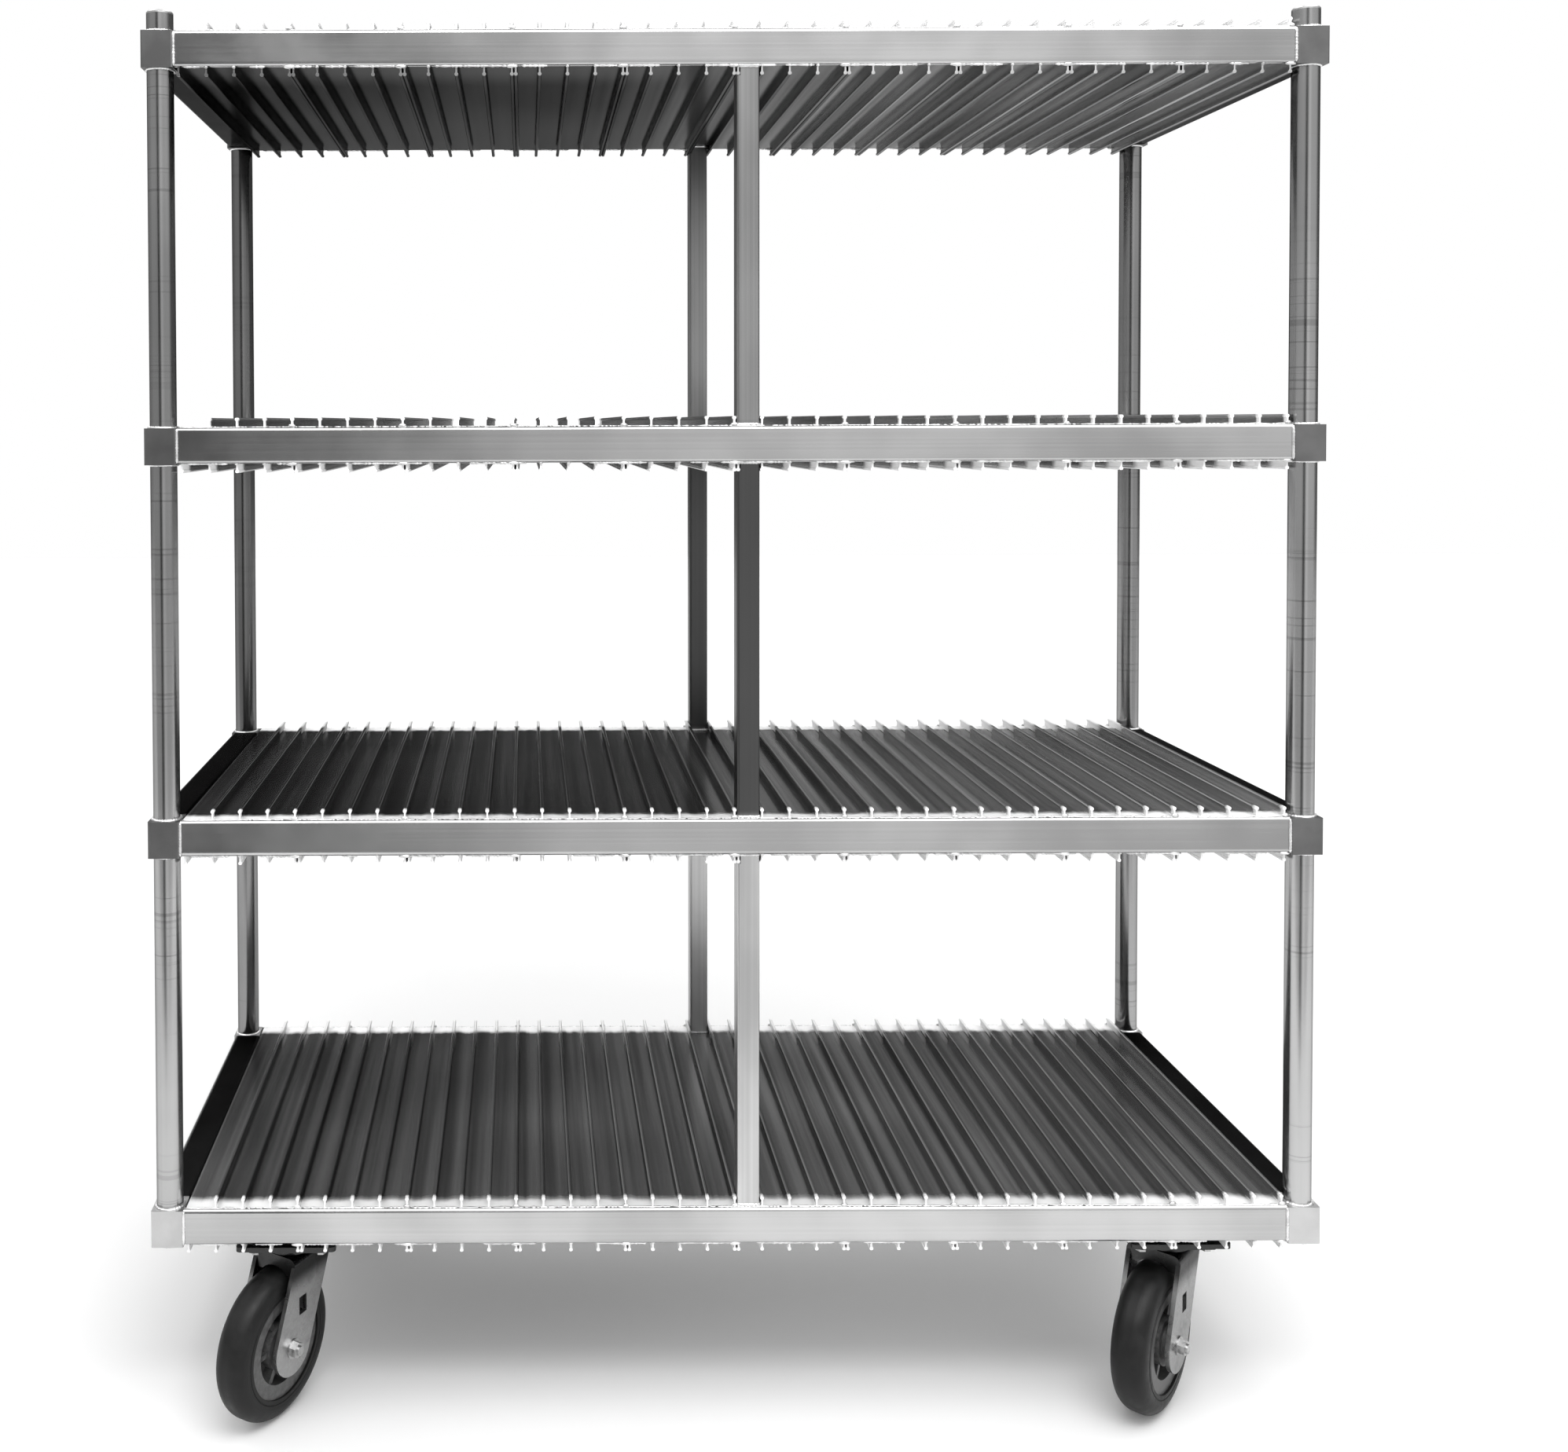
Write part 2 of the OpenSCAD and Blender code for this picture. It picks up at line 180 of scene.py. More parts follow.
def drawn_aluminium(name, axis, dark, light, rough=(0.2, 0.28), edge=0.8):
    """Mill-finish aluminium with die lines along one axis, cloudy patches and handling marks."""
    s = Shader(name, 1.0, rough[0], edge)
    lines = s.noise(along(axis, 0.5, DIE_LINES), detail=2.0)
    clouds = s.noise(3.0, detail=3.0)
    smudges = s.noise(6.0, detail=5.0, roughness=0.65)
    tone = s.blend(lines, 0.15, clouds)
    s.set(Base_Color=s.mix(s.remap(tone, 0.35, 0.65), dark, light))
    s.set(Roughness=s.remap(smudges, 0.2, 0.8, *rough))
    s.set(Normal=s.bump(lines, DIE_LINE_DEPTH))
    return s


def side_rail_aluminium(name, outer):
    """Drawn tube: its own tone near its outer face, whose X is given, and painted shade, almost black, on
    the faces towards the deck.
    """
    s = drawn_aluminium(name, "Y", 0.42, 0.5, edge=0.3)
    lighter_part = s.remap(s.math("ABSOLUTE", s.axis("X")), outer - 0.006, outer - 0.003)
    # Painted shade: everything more than a few millimetres in from the outer face is painted almost black.
    s.set(Base_Color=s.mix(lighter_part, 0.05, s.colour_so_far()))
    return s


def post_aluminium(name, dark, light):
    """Drawn tube: upright die lines, and thin rings rubbed round it here and there.

    Painted light and shade: the tube is painted darker in its upper half, and the tubes on the right are
    painted lighter than those on the left.
    """
    s = drawn_aluminium(name, "Z", dark, light, rough=(0.18, 0.24), edge=0.4)
    rings = s.noise((1.5, 1.5, 200.0), detail=2.0)
    rare = s.noise((0.4, 0.4, 3.0), detail=1.0)
    marks = s.math("MULTIPLY", s.remap(rings, 0.6, 0.66), s.remap(rare, 0.42, 0.55))
    # Painted shade towards the top of the tube.
    painted_upper_shade = s.remap(s.axis("Z"), 0.7, 1.0, 0.0, 0.24)
    colour = s.mix(painted_upper_shade, s.colour_so_far(), 0.0)
    # Painted light: the tubes on the right are painted lighter.
    painted_light_on_right = s.remap(s.axis("X"), -0.7, 0.7, 0.0, 0.16)
    colour = s.mix(painted_light_on_right, colour, 0.85)
    s.set(Base_Color=s.mix(s.math("MULTIPLY", marks, 0.35), colour, 0.12))
    return s


def centre_post_aluminium(name, joints, painted_tones):
    """Square tube in separate lengths, each painted a tone of its own that stands for what it reflects, a
    painted reflection; joints are the heights between them.
    """
    s = Shader(name, 1.0, 0.32, 0.7)
    lines = s.noise(along("Z", 0.5, DIE_LINES), detail=2.0)
    clouds = s.noise((5.0, 5.0, 2.5), detail=3.0)
    height = s.axis("Z")
    tone = painted_tones[0]
    for joint, following in zip(joints, painted_tones[1:]):
        tone = s.mix(s.remap(height, joint - 0.01, joint + 0.01), tone, following)
    shade = s.blend(lines, 0.3, clouds)
    s.set(Base_Color=s.mix(s.remap(shade, 0.3, 0.7, 0.0, 0.45), tone, 0.05))
    s.set(Normal=s.bump(lines, DIE_LINE_DEPTH))
    return s


def plank_aluminium(name, deck, next_deck, top_deck, edge=0.35):
    """Extruded plank: glossy streaks along it, rib crests lighter from wear and a painted highlight, and
    ends ground clean for welding, made brighter still by a painted highlight.

    deck and next_deck are the boxes round the planks of the two lowest decks, and top_deck is the
    height where the planks of the top deck begin. The tones hold painted light and shade: they grow
    lighter from left to right, but on the lowest deck the upper faces stay even.
    """
    low, high = deck
    crest = high.z - low.z
    s = Shader(name, 1.0, 0.3, edge)
    streaks = s.noise(along("Y", 0.6, 45.0), detail=3.0)
    fine = s.noise(along("Y", 3.0, 500.0), detail=2.0)
    wear = s.noise(2.0, detail=2.0)

    # Height in the deck; the margin keeps the lowest faces from counting as the top of a deck.
    margin = 0.001
    above_lowest = s.math("SUBTRACT", s.axis("Z"), low.z - margin)
    height = s.math("MODULO", above_lowest, next_deck[0].z - low.z)
    height = s.math("SUBTRACT", height, margin)
    upper = s.remap(height, crest * 0.6, crest * 0.65)
    rib = s.remap(height, crest * 0.84, crest * 0.86)

    # Tones of the lower and the upper faces, painted with light and shade: a painted reflection of the ribs
    # across each bay, painted light growing to the right, a painted band of light under the front end,
    # painted shade on the lowest crests, and painted shade that holds the upper faces of the lowest deck
    # even.
    ribs_across = s.math("SUBTRACT", s.axis("X"), low.x + RIB_SETBACK)
    ribs_across = s.math("DIVIDE", ribs_across, rib_spacing(low, high))
    # Painted reflection of the neighbouring ribs: each bay runs from dark to light.
    painted_bay_reflection = s.remap(s.math("FRACT", ribs_across), 0.1, 0.9)
    shade = s.blend(s.remap(streaks, 0.3, 0.7), 0.6, painted_bay_reflection)
    # Painted light: the faces grow lighter towards the right.
    right = s.remap(s.axis("X"), -0.25, 0.35)
    under = s.mix(shade, s.mix(right, 0.006, 0.15), s.mix(right, 0.035, 0.8))
    # Painted light in a band under the front end of the deck.
    painted_front_light = s.remap(s.axis("Y"), low.y + 0.02, low.y + 0.14, 0.3, 0.0)
    under = s.mix(painted_front_light, under, 0.4)
    # Painted shade on the lowest crests.
    painted_shade_lower_crests = s.remap(height, 0.0025, 0.0045, 0.3, 0.0)
    under = s.mix(painted_shade_lower_crests, under, 0.0)
    over = s.mix(shade, s.mix(right, 0.2, 0.38), s.mix(right, 0.62, 1.0))
    # Painted shade on the right of the lowest deck's upper faces, which holds them even.
    lowest_deck = s.remap(s.axis("Z"), high.z + 0.01, high.z + 0.02, 1.0, 0.0)
    painted_shade_lowest_deck = s.math("MULTIPLY", s.math("MULTIPLY", right, lowest_deck), 0.42)
    over = s.mix(painted_shade_lowest_deck, over, 0.0)
    body = s.mix(upper, under, over)

    # Bright metal: crests lighter from wear and a painted highlight, ground ends made brighter by a painted
    # highlight, and the cut faces at the front and the rear.
    # Partly wear on the crests, partly a painted highlight.
    worn_and_highlit_crests = s.math("MULTIPLY", s.remap(height, crest - 0.002, crest), s.remap(fine, 0.3, 0.6, 0.4, 1.0))
    worn_and_highlit_crests = s.math("MULTIPLY", worn_and_highlit_crests, s.remap(upper, 0.0, 1.0, 0.02, 0.15))
    from_middle = s.math("ABSOLUTE", s.axis("Y"))
    ragged = s.math("ADD", from_middle, s.remap(streaks, 0.3, 0.7, -0.003, 0.003))
    # The ground ends are partly a painted highlight.
    ground_flat_and_highlight = s.remap(ragged, high.y - 0.034, high.y - 0.012)
    ground_rib_and_highlight = s.remap(from_middle, high.y - 0.012, high.y - 0.004)
    below_top_deck = s.remap(s.axis("Z"), top_deck - 0.03, top_deck - 0.02, 1.0, 0.0)
    rear_half = s.remap(s.axis("Y"), -0.01, 0.01)
    long_grind_and_highlight = s.math("MAXIMUM", rear_half, s.math("SUBTRACT", 1.0, below_top_deck))
    long_reach = s.remap(from_middle, high.y - 0.07, high.y - 0.04, 0.0, 0.8)
    long_grind_and_highlight = s.math("MULTIPLY", long_grind_and_highlight, long_reach)
    ground_rib_and_highlight = s.math("MAXIMUM", ground_rib_and_highlight, long_grind_and_highlight)
    # Painted highlight on the ends of the lower ribs below the top deck, partly grinding.
    ground_under_and_highlight = s.remap(from_middle, high.y - 0.06, high.y - 0.035)
    ground_under_and_highlight = s.math("MULTIPLY", ground_under_and_highlight, below_top_deck)
    ground_and_highlight = s.between(upper, ground_under_and_highlight, s.between(rib, ground_flat_and_highlight, ground_rib_and_highlight))
    cut = s.remap(from_middle, high.y - 0.003, high.y - 0.001, 0.0, 0.5)
    bright = s.math("MAXIMUM", worn_and_highlit_crests, s.math("MAXIMUM", ground_and_highlight, cut))

    s.set(Base_Color=s.mix(bright, body, 0.95))
    s.set(Roughness=s.between(ground_and_highlight, s.remap(wear, 0.3, 0.7, 0.18, 0.24), 0.75))
    s.set(Normal=s.bump(fine, 0.000002, s.bump(streaks, 0.00005)))
    return s


def sleeve_aluminium(name, lighter_below):
    """Machined block with a fine even grain, lighter up to the given height and darker above it."""
    s = Shader(name, 1.0, 0.4, 0.7)
    grain = s.noise(900.0, detail=2.0)
    clouds = s.noise(14.0, detail=4.0)
    upper_tone = s.mix(s.remap(clouds, 0.3, 0.7), 0.15, 0.21)
    lighter_part = s.mix(s.remap(clouds, 0.3, 0.7), 0.46, 0.56)
    s.set(Base_Color=s.mix(s.remap(s.axis("Z"), lighter_below, lighter_below + 0.05), lighter_part, upper_tone))
    s.set(Roughness=s.remap(grain, 0.3, 0.7, 0.34, 0.44))
    s.set(Normal=s.bump(grain, 0.00001))
    return s


def weld_metal(name):
    """Bright weld metal with a slightly frosted skin and sooty patches."""
    s = Shader(name, 1.0, 0.35)
    frost = s.noise(1200.0, detail=3.0)
    soot = s.noise(60.0, detail=3.0)
    s.set(Base_Color=s.mix(s.remap(soot, 0.4, 0.7), 0.9, 0.62))
    s.set(Roughness=s.remap(frost, 0.3, 0.7, 0.28, 0.5))
    s.set(Normal=s.bump(frost, 0.00008))
    return s


def zinc_plate(name, lighter_below):
    """Zinc-plated pressed steel with soft spangles, fine scratches and grime, and painted shade, almost
    black, above the given height."""
    s = Shader(name, 1.0, 0.3, 0.7)
    cells = s.node("TexVoronoi", {"Vector": s.place, "Scale": 260.0}, feature="F1").outputs["Color"]
    spangle = s.node("SeparateColor", {"Color": cells}).outputs[0]
    grime = s.noise(28.0, detail=5.0, roughness=0.65)
    scratches = s.noise((60.0, 60.0, 900.0), detail=3.0, roughness=0.7)
    base = s.mix(s.math("MULTIPLY", spangle, 0.3), 0.36, 0.46)
    base = s.mix(s.remap(grime, 0.5, 0.75, 0.0, 0.4), base, 0.15)
    # Painted shade: the plates, pads and tops of the forks under the rack are painted almost black.
    painted_shade_under_rack = s.remap(s.axis("Z"), lighter_below - 0.03, lighter_below, 0.0, 0.92)
    s.set(Base_Color=s.mix(painted_shade_under_rack, base, 0.02))
    s.set(Roughness=s.remap(grime, 0.35, 0.7, 0.24, 0.4))
    s.set(Normal=s.bump(scratches, 0.00002))
    return s


def bright_steel(name):
    """Plated fasteners, balls and rollers, with fine marks and a little grime."""
    s = Shader(name, 1.0, 0.25)
    marks = s.noise(500.0, detail=2.0)
    grime = s.noise(90.0, detail=4.0)
    s.set(Base_Color=s.mix(s.remap(grime, 0.5, 0.7), 0.45, 0.2))
    s.set(Roughness=s.remap(marks, 0.3, 0.7, 0.28, 0.42))
    s.set(Normal=s.bump(marks, 0.00003))
    return s


def wheel_place(s, centre, turn):
    """Coordinates about a wheel: X along its axle, from the middle of the wheel."""
    back = centre.copy()
    back.rotate(turn.inverted())
    inputs = {"Vector": s.place, "Rotation": turn.inverted().to_euler(), "Location": -back}
    return s.node("Mapping", inputs).outputs["Vector"]


def radius_from_axle(s, place):
    """Distance from the axle, in coordinates about the wheel."""
    split = s.node("SeparateXYZ", {"Vector": place})
    flat = s.node("CombineXYZ", {"Y": split.outputs["Y"], "Z": split.outputs["Z"]}).outputs["Vector"]
    return s.node("VectorMath", {0: flat}, operation="LENGTH").outputs["Value"]


def rings_about_axle(s, place, per_metre):
    """Noise that changes only with the distance from the axle, so it draws rings."""
    radius = radius_from_axle(s, place)
    line = s.node("CombineXYZ", {"X": radius}).outputs["Vector"]
    return s.noise((per_metre, 1.0, 1.0), detail=3.0, roughness=0.7, place=line)


def tyre_rubber(name, centre, turn):
    """Moulded rubber: fine rings from the mould, dust, and a fine grain."""
    s = Shader(name, 0.0, 0.5)
    place = wheel_place(s, centre, turn)
    rings = rings_about_axle(s, place, 420.0)
    dust = s.noise(30.0, detail=6.0, roughness=0.7)
    grain = s.noise(1500.0, detail=2.0)
    s.set(Base_Color=s.mix(s.remap(dust, 0.4, 0.75), 0.005, 0.013))
    s.bsdf.inputs["Specular IOR Level"].default_value = 0.25
    s.set(Roughness=s.remap(dust, 0.35, 0.7, 0.42, 0.62))
    s.set(Normal=s.bump(grain, 0.00004, s.bump(rings, 0.00035)))
    return s


def core_plastic(name, centre, turn):
    """Grey moulded core with faint flow rings and scuffs."""
    s = Shader(name, 0.0, 0.45)
    place = wheel_place(s, centre, turn)
    rings = rings_about_axle(s, place, 300.0)
    scuffs = s.noise(120.0, detail=5.0, roughness=0.7)
    s.set(Base_Color=s.mix(s.remap(scuffs, 0.35, 0.7), 0.05, 0.1))
    s.set(Roughness=s.remap(scuffs, 0.35, 0.7, 0.36, 0.55))
    s.set(Normal=s.bump(rings, 0.0001))
    return s


def floor_paint(name):
    """Pale even paint, very slightly cloudy."""
    s = Shader(name, 0.0, 0.7)
    clouds = s.noise(0.8, detail=3.0)
    s.set(Base_Color=s.mix(s.remap(clouds, 0.3, 0.7), 0.93, 0.96))
    return s


def dress(nodes, shader):
    """Gives CAD nodes a material in place of the one they came with."""
    for name in nodes:
        node = frame["nodes"][name]
        node.data.materials.clear()
        node.data.materials.append(shader.material)


# ---- Weld beads ----


def bead_wave(distance, ripple):
    """Thickness of a rippled bead, as a share of its mean, at a distance along it."""
    return 1.0 + BEAD_WAVE * math.cos(2 * math.pi * distance / ripple)


def ripple_radius(radius, distance, length, ripple, rand, swell):
    """Half-thickness of a bead: rippled, a little uneven, and drawn in at both ends."""
    near_end = min(distance, length - distance) / (2 * radius)
    taper = min(1.0, 0.35 + near_end)
    return radius * taper * bead_wave(distance, ripple) * (1.0 + swell * (rand.random() - 0.5))


def add_bead(mesh, path, radius, ripple=0.004, sides=7, closed=False, seed=1, swell=0.25, flat=1.0):
    """Adds a rippled bead along a path of points to a bmesh; a flat below 1 squashes it in height."""
    rand = random.Random(seed)
    ends = path[1:] + path[:1] if closed else path[1:]
    starts = path if closed else path[:-1]
    length = sum((b - a).length for a, b in zip(starts, ends))
    rings = []
    travelled = 0.0
    for a, b in zip(starts, ends):
        span = (b - a).length
        steps = max(1, round(span / (ripple / 3)))
        direction = (b - a) / span
        upright = abs(direction.z) > 0.9
        side = direction.orthogonal() if upright else direction.cross(Vector((0, 0, 1)))
        side.normalize()
        up = side.cross(direction)
        last_span = not closed and b is path[-1]
        for step in range(steps + (1 if last_span else 0)):
            distance = travelled + span * step / steps
            # A closed bead has no ends to draw in, so its thickness is that of its middle.
            place = length / 2 if closed else distance
            size = ripple_radius(radius, place, length, ripple, rand, swell)
            if closed:
                size *= bead_wave(distance, ripple)
            centre = a + direction * (span * step / steps)
            ring = []
            for k in range(sides):
                angle = 2 * math.pi * k / sides
                offset = side * math.cos(angle) + up * (math.sin(angle) * flat)
                ring.append(mesh.verts.new(centre + offset * size))
            rings.append(ring)
        travelled += span
    pairs = list(zip(rings, rings[1:])) + ([(rings[-1], rings[0])] if closed else [])
    for one, two in pairs:
        for k in range(sides):
            mesh.faces.new((one[k], one[(k + 1) % sides], two[(k + 1) % sides], two[k]))
    if not closed:
        mesh.faces.new(rings[0][::-1])
        mesh.faces.new(rings[-1])


def add_blob(mesh, centre, size, seed):
    """Adds a lumpy drop of weld metal; size is its half-extent along X, Y and Z."""
    rand = random.Random(seed)
    made = bmesh.ops.create_icosphere(mesh, subdivisions=2, radius=1.0)
    for vert in made["verts"]:
        lump = 1.0 + 0.22 * (rand.random() - 0.5)
        vert.co = Vector([centre[k] + vert.co[k] * size[k] * lump for k in range(3)])


def finish_piece(name, mesh, shader, body):
    """Turns a bmesh into a smooth-shaded object that rides on a body, and frees the bmesh."""
    bmesh.ops.recalc_face_normals(mesh, faces=mesh.faces)
    data = bpy.data.meshes.new(name)
    mesh.to_mesh(data)
    mesh.free()
    data.polygons.foreach_set("use_smooth", [True] * len(data.polygons))
    data.materials.append(shader.material)
    piece = bpy.data.objects.new(name, data)
    bpy.context.scene.collection.objects.link(piece)
    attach(piece, body)


def rib_lines(level):
    """X of every rib of a deck, and whether it stands at the joint of two planks."""
    low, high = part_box(f"deck_planks_{level}")
    pitch = rib_spacing(low, high)
    for k in range(1, PLANKS * RIBS_PER_PLANK + 1):
        yield low.x + RIB_SETBACK + k * pitch, k % RIBS_PER_PLANK == 0


def straight_path(x1, x2, y, z):
    """Ends of a level line from left to right."""
    return [Vector((x1, y, z)), Vector((x2, y, z))]


def rail_welds(level, shader):
    """Beads and spots that join the front and rear rails to the plank ends."""
    top_spot = (0.005, 0.0026, 0.003)
    joint_spot = (0.0085, 0.003, 0.0028)
    rib_spot = (0.0028, 0.0022, 0.002)
    mesh = bmesh.new()
    deck_low, deck_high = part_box(f"deck_planks_{level}")
    for side, rail in ((-1, f"front_rail_{level}"), (1, f"rear_rail_{level}")):
        low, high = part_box(rail)
        seam = side * (deck_high.y + 0.0006)
        seed = level * 100 + side
        path = straight_path(deck_low.x, deck_high.x, seam, high.z - 0.0006)
        add_bead(mesh, path, RAIL_TOP_BEAD, ripple=0.0055, sides=6, seed=seed, swell=0.9, flat=0.6)
        for k, (x, joint) in enumerate(rib_lines(level)):
            if joint:
                add_blob(mesh, (x, seam + side * 0.0008, high.z + 0.0012), top_spot, seed + k)
                add_blob(mesh, (x, seam + side * 0.0016, low.z - 0.0002), joint_spot, seed + k)
            else:
                add_blob(mesh, (x, seam + side * 0.001, low.z), rib_spot, seed + k)
        # Runs of weld of uneven length under the rail, with gaps between them.
        rand = random.Random(seed)
        x = deck_low.x + 0.01
        while x < deck_high.x - 0.06:
            run = rand.uniform(0.02, 0.12)
            stop = min(x + run, deck_high.x)
            path = straight_path(x, stop, seam + side * 0.0014, low.z)
            run_seed = seed + round(x * 1000)
            add_bead(mesh, path, RAIL_UNDER_BEAD, ripple=0.005, sides=6, seed=run_seed, swell=0.7)
            x = stop + rand.uniform(0.01, 0.09)
    finish_piece(f"rail_welds_{level}", mesh, shader, FRAME_BODY)


def ring_path(x, y, z, radius, points=28):
    """Points on a level circle round an upright post."""
    turns = [2 * math.pi * k / points for k in range(points)]
    return [Vector((x + radius * math.cos(t), y + radius * math.sin(t), z)) for t in turns]


def upright_path(x, y, z1, z2):
    """Ends of an upright line."""
    return [Vector((x, y, z1)), Vector((x, y, z2))]


def corner_welds(level, shader):
    """Beads round the corner posts, and down the joints of sleeves and rails."""
    mesh = bmesh.new()
    rail_low, rail_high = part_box(f"front_rail_{level}")
    side_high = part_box(f"side_rails_{level}")[1]
    for number, corner in enumerate(CORNERS):
        low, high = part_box(f"corner_post_{corner}")
        middle = (low + high) / 2
        radius = (high.x - low.x) / 2
        out_x = math.copysign(1, middle.x)
        out_y = math.copysign(1, middle.y)
        path = ring_path(middle.x, middle.y, rail_high.z - 0.0012, radius + 0.0006)
        add_bead(mesh, path, POST_TOP_BEAD, closed=True, seed=level * 10 + number, sides=6)
        path = ring_path(middle.x, middle.y, rail_low.z - 0.0016, radius + 0.0004)
        add_bead(mesh, path, POST_UNDER_BEAD, closed=True, seed=level * 20 + number, sides=6)
        x = out_x * (rail_high.x - 0.0004)
        y = out_y * (abs(rail_low.y) + 0.0001)
        path = upright_path(x, y, rail_low.z + 0.001, rail_high.z - 0.003)
        add_bead(mesh, path, SLEEVE_FRONT_BEAD, ripple=0.0042, seed=level * 30 + number)
        x = out_x * (side_high.x - 0.0002)
        y = out_y * (side_high.y - 0.0006)
        path = upright_path(x, y, rail_low.z + 0.005, rail_high.z - 0.005)
        add_bead(mesh, path, SLEEVE_END_BEAD, ripple=0.0042, seed=level * 40 + number)
    finish_piece(f"corner_welds_{level}", mesh, shader, FRAME_BODY)


def square_path(low, high, z, inset=0.0035):
    """Rectangle of points round a square post, with cut corners."""
    points = []
    corners = ((low.x, low.y), (high.x, low.y), (high.x, high.y), (low.x, high.y))
    for number, (x, y) in enumerate(corners):
        step_x = inset if x == low.x else -inset
        step_y = inset if y == low.y else -inset
        pair = [Vector((x, y + step_y, z)), Vector((x + step_x, y, z))]
        points += pair[::-1] if number % 2 else pair
    return points


def centre_post_welds(shader):
    """Beads round both ends of every length of the centre posts."""
    mesh = bmesh.new()
    for number, node in enumerate(("centre_post_front", "centre_post_rear")):
        low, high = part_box(node)
        for level in LEVELS:
            rail_low, rail_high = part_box(f"front_rail_{level}")
            if level < LEVELS[-1]:
                path = square_path(low, high, rail_high.z + 0.0012)
                add_bead(mesh, path, CENTRE_TOP_BEAD, closed=True, sides=6, seed=level + 10 * number)
            if level > LEVELS[0]:
                path = square_path(low, high, rail_low.z - 0.0010)
                add_bead(mesh, path, CENTRE_UNDER_BEAD, closed=True, sides=6, seed=level + 20 * number)
    finish_piece("centre_post_welds", mesh, shader, FRAME_BODY)


# ---- Surroundings ----


def make_floor():
    """Pale floor under the rack, far to the back and to both sides."""
    data = bpy.data.meshes.new("floor")
    reach = 14.0
    front = -1.8
    corners = [(-reach, front, 0), (reach, front, 0), (reach, reach, 0), (-reach, reach, 0)]
    data.from_pydata(corners, [], [(0, 1, 2, 3)])
    data.materials.append(floor_paint("floor_paint").material)
    floor = bpy.data.objects.new("floor", data)
    bpy.context.scene.collection.objects.link(floor)


def soft_light(name, place, target, size, power):
    """Rectangular soft light that faces a point; size is its width and height."""
    data = bpy.data.lights.new(name, "AREA")
    data.shape = "RECTANGLE"
    data.size, data.size_y = size
    data.energy = power
    light = bpy.data.objects.new(name, data)
    light.location = place
    light.rotation_euler = (Vector(target) - Vector(place)).to_track_quat("-Z", "Y").to_euler()
    bpy.context.scene.collection.objects.link(light)


def make_world():
    """White for the camera, even light on every surface, and a studio that only reflections see.

    The front of the studio is bright to the right, dark left of the middle and half bright at the far
    left. The rear is dark, but for the far left and one low patch right of the middle. A bright band
    of ceiling stands above both, and straight overhead it is grey.
    """
    world = bpy.data.worlds.new("studio")
    world.use_nodes = True
    world.cycles.sampling_method = "NONE"
    bpy.context.scene.world = world
    w = Wiring(world.node_tree)
    w.tree.nodes.clear()
    split = w.node("SeparateXYZ", {"Vector": w.node("TexCoord").outputs["Generated"]})
    across = split.outputs["X"]
    forward = w.math("MULTIPLY", split.outputs["Y"], -1.0)
    up = split.outputs["Z"]

    front = w.remap(across, -0.13, 0.08, 0.14, 1.05)
    front = w.math("MULTIPLY", front, w.remap(across, -0.25, -0.15, 0.4, 1.0))
    front = w.math("SUBTRACT", front, w.remap(across, 0.14, 0.5, 0.0, 0.28))
    front = w.math("MAXIMUM", front, w.remap(across, -0.29, -0.45, 0.0, 0.6))

    rear = w.remap(across, -0.1, 0.4, 0.07, 0.2)
    rear = w.math("MAXIMUM", rear, w.remap(across, -0.15, -0.3, 0.0, 0.5))
    patch = w.math("MULTIPLY", w.remap(across, 0.08, 0.14), w.remap(across, 0.34, 0.26))
    patch = w.math("MULTIPLY", patch, w.remap(up, 0.34, 0.26, 0.0, 0.4))
    rear = w.math("ADD", rear, patch)

    room = w.between(w.remap(forward, -0.05, 0.35), rear, front)
    ceiling = w.math("MULTIPLY", w.remap(up, 0.45, 0.8), w.remap(up, 0.9, 0.97, 2.6, 0.0))
    overhead = w.remap(up, 0.75, 0.95)
    room = w.math("ADD", w.between(overhead, room, 0.45), ceiling)

    ray = w.node("LightPath").outputs
    strength = w.between(ray["Is Diffuse Ray"], room, 1.12)
    strength = w.between(ray["Is Camera Ray"], strength, 1.0)
    backdrop = w.node("Background", {"Color": (1.0, 1.0, 1.0, 1.0), "Strength": strength})
    w.node("OutputWorld", {"Surface": backdrop.outputs["Background"]})


def make_camera():
    """View from the front at 1.4 m, a little left of the middle, shifted so that the rack fills it."""
    data = bpy.data.cameras.new("camera")
    data.sensor_width = 36.0
    data.lens = 35.83
    data.shift_x = 0.1657
    data.shift_y = -0.1688
    camera = bpy.data.objects.new("camera", data)
    camera.location = (-0.2897, -2.4755, 1.4004)
    pitch_down = 0.0233
    roll = 0.0036
    camera.rotation_euler = (math.pi / 2 - pitch_down, roll, 0.0)
    bpy.context.scene.collection.objects.link(camera)
    bpy.context.scene.camera = camera


def caster_turn(corner):
    """Middle of a wheel and its turn about Z, from its joint in the record."""
    for joint in frame["record"]["behaviour"]["joints"]:
        if joint["name"] == f"wheel_{corner}":
            x, y, z = joint["axis"]
            return Vector(joint["pos_m"]), Vector((1, 0, 0)).rotation_difference(Vector((x, y, z)))
    raise KeyError(corner)


# ---- The rack ----

make_camera()
make_world()
make_floor()

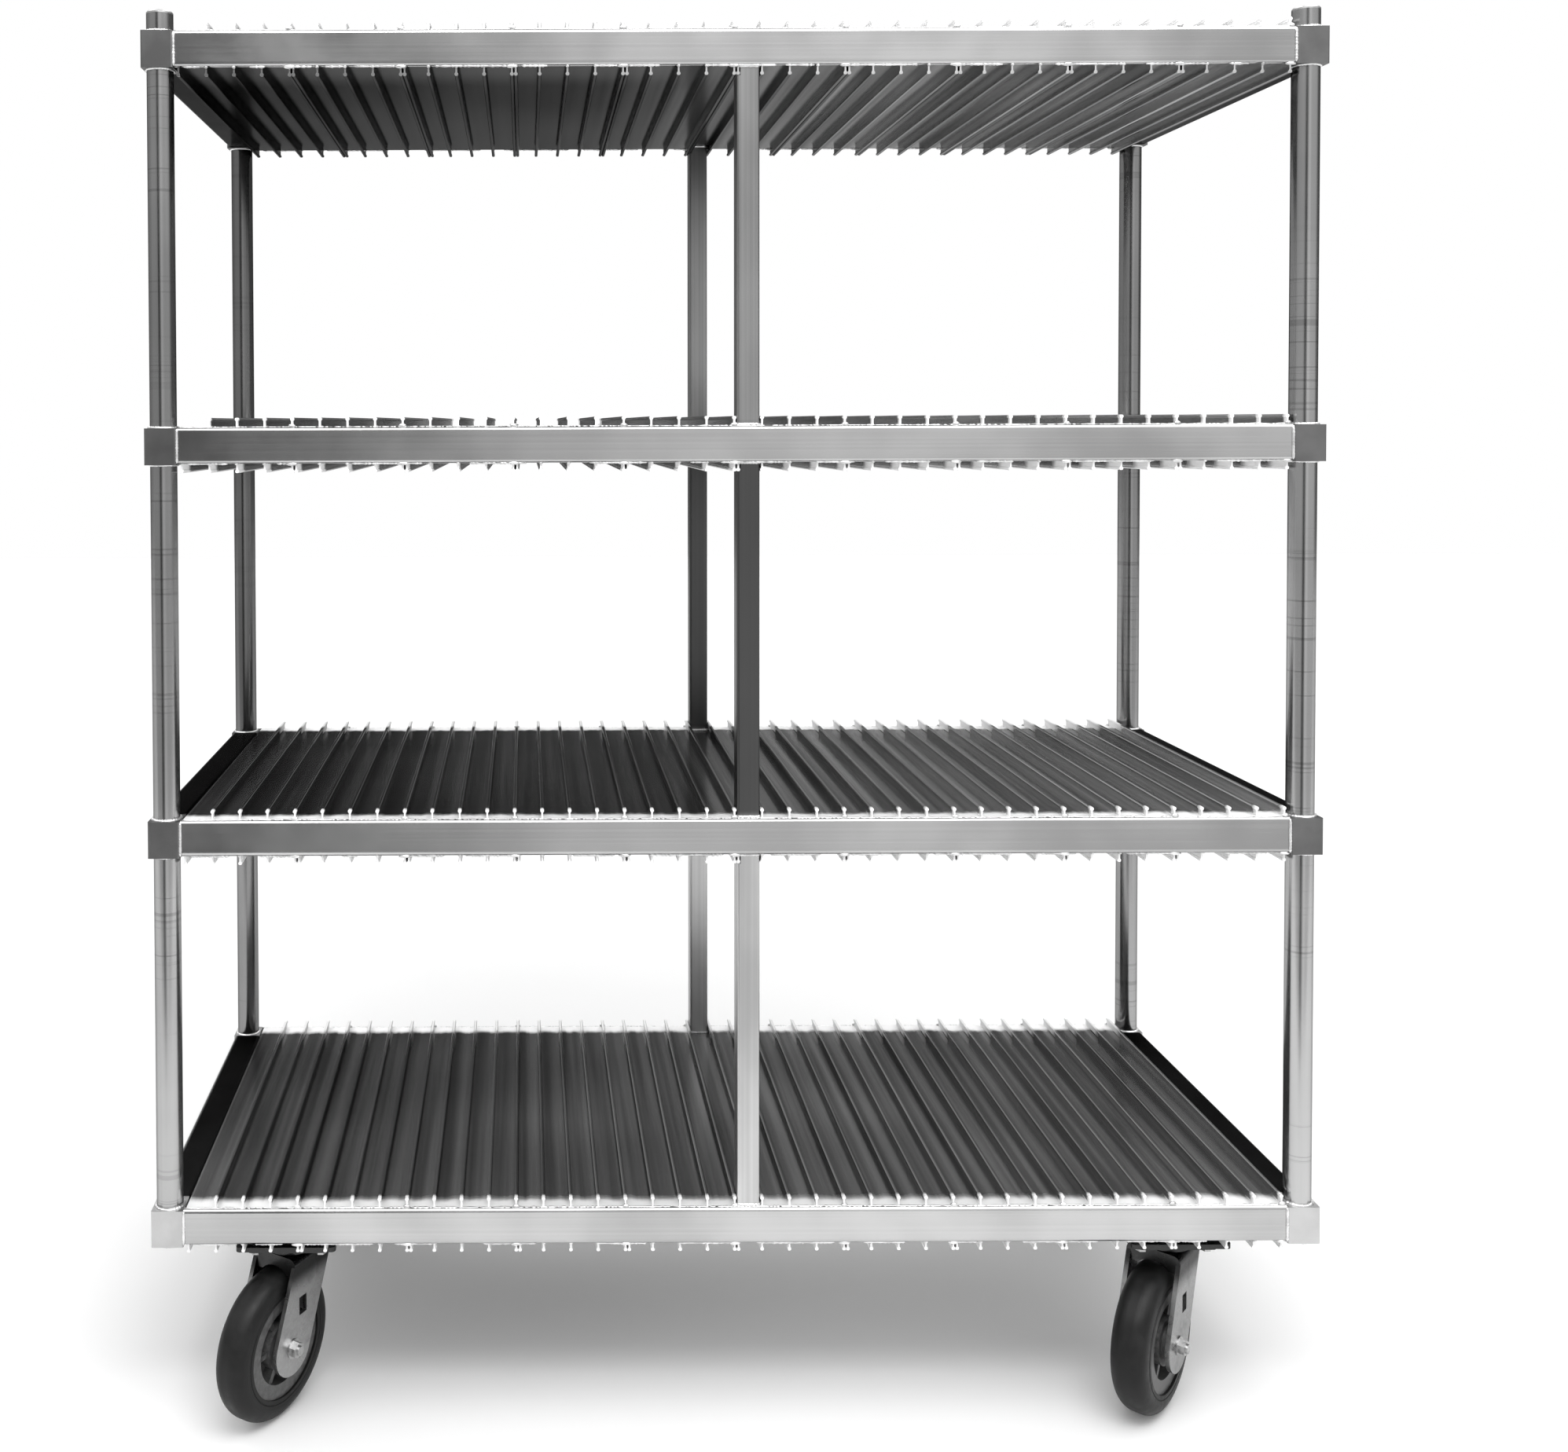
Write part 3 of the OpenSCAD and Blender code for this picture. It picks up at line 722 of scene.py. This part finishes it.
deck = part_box("deck_planks_1")
next_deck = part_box("deck_planks_2")
top_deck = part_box("deck_planks_4")[0].z
plank = plank_aluminium("plank_aluminium", deck, next_deck, top_deck)
# The third deck gets a lit copy of the plank material, brighter at a grazing angle: a painted sheen.
grazing_lit_plank = plank_aluminium("grazing_lit_plank_aluminium", deck, next_deck, top_deck, edge=0.9)
rail = drawn_aluminium("rail_aluminium", "X", 0.38, 0.54)
side_rail = side_rail_aluminium("side_rail_aluminium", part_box("side_rails_1")[1].x)
post = post_aluminium("post_aluminium", 0.36, 0.46)
# The rear posts get a darker copy of the front posts' material, a painted shade.
shaded_rear_post = post_aluminium("shaded_rear_post_aluminium", 0.2, 0.27)
rail_tops = [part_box(f"front_rail_{n}")[1].z for n in LEVELS]
# Painted reflection: the centre posts are painted light, dark and mid grey, length by length from the bottom
# up.
centre_post = centre_post_aluminium("centre_post_aluminium", rail_tops[1:3], (0.66, 0.1, 0.36))
sleeve = sleeve_aluminium("sleeve_aluminium", rail_tops[0])
cap = sleeve_aluminium("cap_aluminium", cad_box[1].z)
fork_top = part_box("caster_front_left_fork")[1].z
# Painted shade on everything from a little below the tops of the forks up.
zinc = zinc_plate("zinc_plate", fork_top - 0.02)
steel = bright_steel("bright_steel")
weld = weld_metal("weld_metal")

dress([f"deck_planks_{n}" for n in (1, 2, 4)], plank)
dress(["deck_planks_3"], grazing_lit_plank)
dress([f"{side}_rail_{n}" for n in LEVELS for side in ("front", "rear")], rail)
dress([f"side_rails_{n}" for n in LEVELS], side_rail)
dress([f"corner_post_{corner}" for corner in CORNERS[:2]], post)
dress([f"corner_post_{corner}" for corner in CORNERS[2:]], shaded_rear_post)
dress(["centre_post_front", "centre_post_rear"], centre_post)
dress(["corner_sleeves"], sleeve)
dress(["post_caps"], cap)
dress(["caster_pads"], zinc)
dress(["caster_bolts"], steel)
for corner in CORNERS:
    dress([f"caster_{corner}_plate", f"caster_{corner}_fork"], zinc)
    dress([f"caster_{corner}_{piece}" for piece in ("balls", "axle", "bearing")], steel)
    centre, turn = caster_turn(corner)
    dress([f"caster_{corner}_tyre"], tyre_rubber(f"tyre_rubber_{corner}", centre, turn))
    dress([f"caster_{corner}_core"], core_plastic(f"core_plastic_{corner}", centre, turn))

for level in LEVELS:
    rail_welds(level, weld)
    corner_welds(level, weld)
centre_post_welds(weld)

soft_light("overhead", place=(0.3, -1.4, 3.6), target=(0.0, 0.0, 1.0), size=(3.2, 1.6), power=40)
soft_light("front_top", place=(0.1, -2.3, 3.5), target=(0.0, -0.3, 0.8), size=(2.6, 0.8), power=34)

bpy.context.scene.view_settings.view_transform = "Standard"
